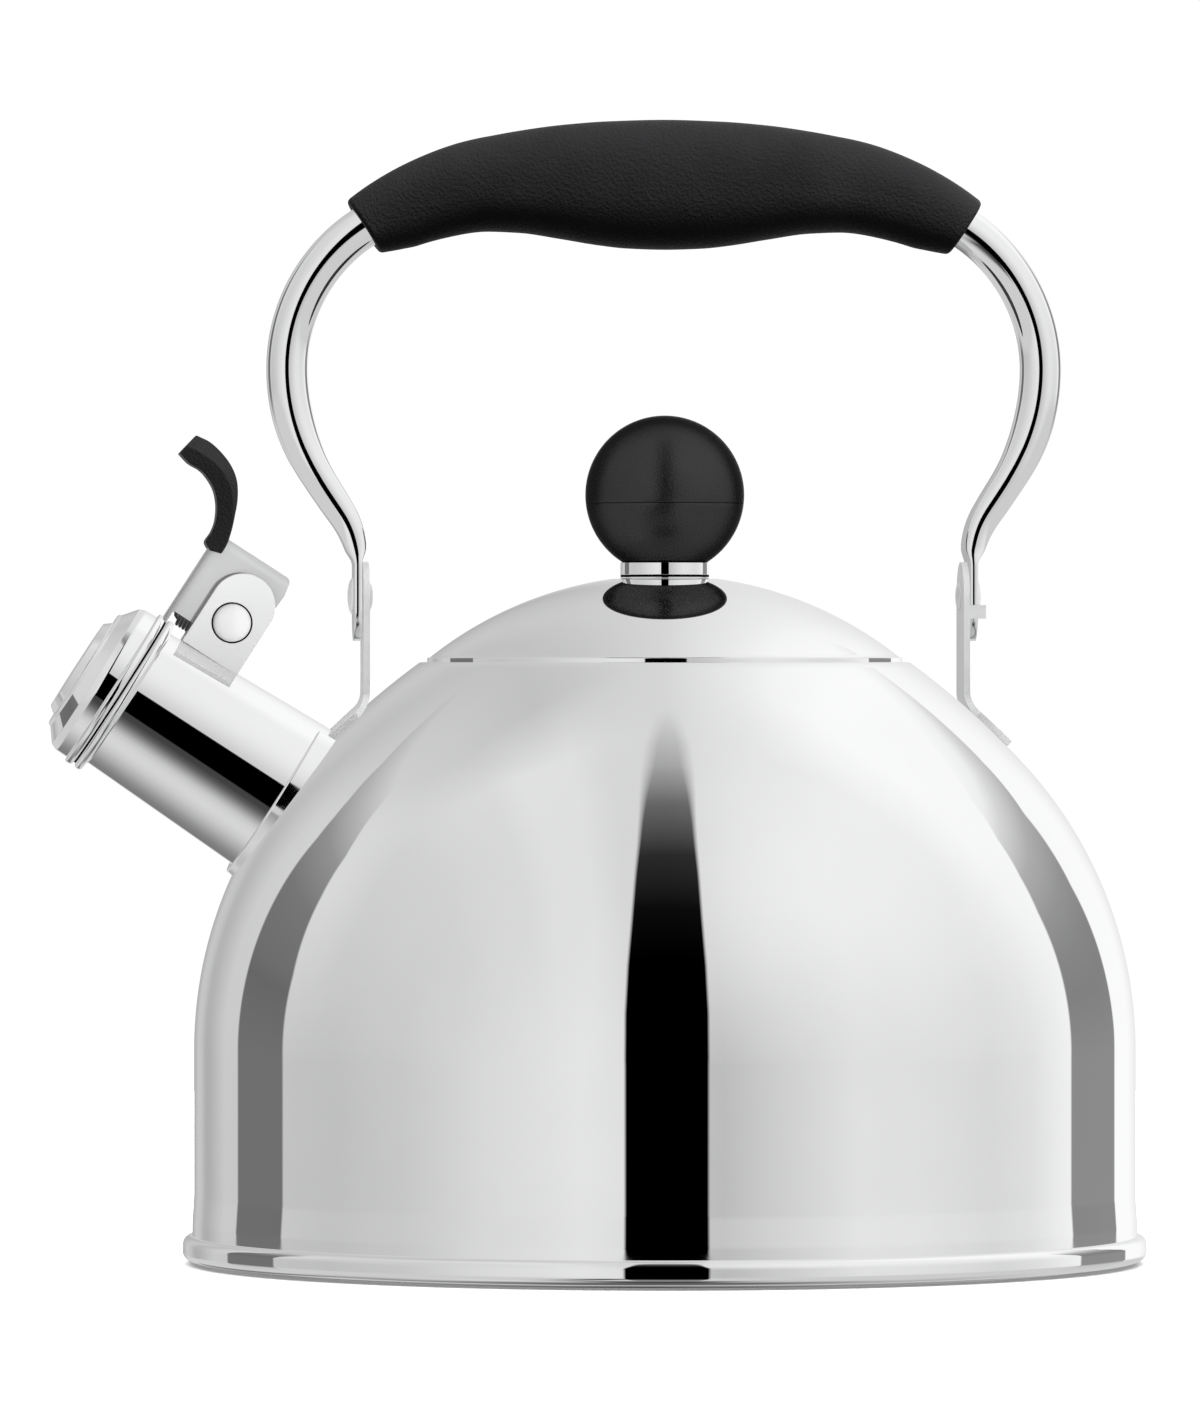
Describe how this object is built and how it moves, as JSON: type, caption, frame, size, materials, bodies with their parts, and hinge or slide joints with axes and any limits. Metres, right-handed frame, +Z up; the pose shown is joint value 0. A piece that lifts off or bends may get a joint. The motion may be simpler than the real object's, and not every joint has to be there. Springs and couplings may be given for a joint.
{
  "type": "stovetop whistling kettle",
  "caption": "Domed steel stovetop kettle with a ball-knob lid, a raised spout closed by a sprung whistle cap with thumb lever, and a bail handle with a dark grip that folds forward to its stop",
  "frame": {"origin": "centre of the flat underside of the base, on the surface the kettle stands on", "axes": "+Z up; the spout points along -X; the handle spans X and folds forward towards -Y"},
  "size_m": [0.2332, 0.2048, 0.2429],
  "materials": {
    "polished_steel": "mirror polished stainless steel",
    "satin_steel": "satin stainless steel",
    "spring_steel": "drawn spring wire",
    "base_aluminium": "mill",
    "knob_brass": "turned",
    "black_thermoplastic": "fine matt",
    "soft_black_grip": "fine pebbled soft touch"
  },
  "bodies": {
    "kettle": {"body_shell": "polished_steel", "base_pan": "polished_steel", "heat_disc": "base_aluminium", "base_cover": "satin_steel", "spout_tube": "polished_steel", "spout_flange": "polished_steel", "spout_bracket": "polished_steel", "lever_pin": "polished_steel", "lever_spring": "spring_steel", "left_handle_bracket": "polished_steel", "right_handle_bracket": "polished_steel", "left_handle_rivet": "polished_steel", "right_handle_rivet": "polished_steel"},
    "handle": {"handle_tube": "polished_steel", "grip_front": "soft_black_grip", "grip_back": "soft_black_grip", "grip_screw_left": "satin_steel", "grip_screw_right": "satin_steel"},
    "whistle_lever": {"whistle_cap": "polished_steel", "whistle_front_plate": "polished_steel", "whistle_back_plate": "satin_steel", "lever_arm": "polished_steel", "thumb_tip": "black_thermoplastic"},
    "lid": {"lid_shell": "polished_steel", "lid_skirt": "satin_steel", "lid_boss": "polished_steel", "knob_ferrule": "polished_steel", "knob_base": "black_thermoplastic", "knob_cap": "black_thermoplastic", "knob_insert": "knob_brass", "knob_screw": "satin_steel", "knob_washer": "satin_steel"}
  },
  "joints": [
    {"name": "handle_fold", "type": "hinge", "parent": "kettle", "child": "handle", "pos_m": [0, 0, 0.1417], "axis": [1, 0, 0], "range_deg": [0, 36]},
    {"name": "spout_lever", "type": "hinge", "parent": "kettle", "child": "whistle_lever", "pos_m": [-0.09228, 0, 0.13601], "axis": [0, 1, 0], "range_deg": [0, 20], "stiffness_Nm_per_rad": 0.12, "springref_deg": -28.65, "deforming": ["lever_spring"]},
    {"name": "lid_lift", "type": "slide", "parent": "kettle", "child": "lid", "axis": [0, 0, 1], "range_m": [0, 0.032]}
  ]
}
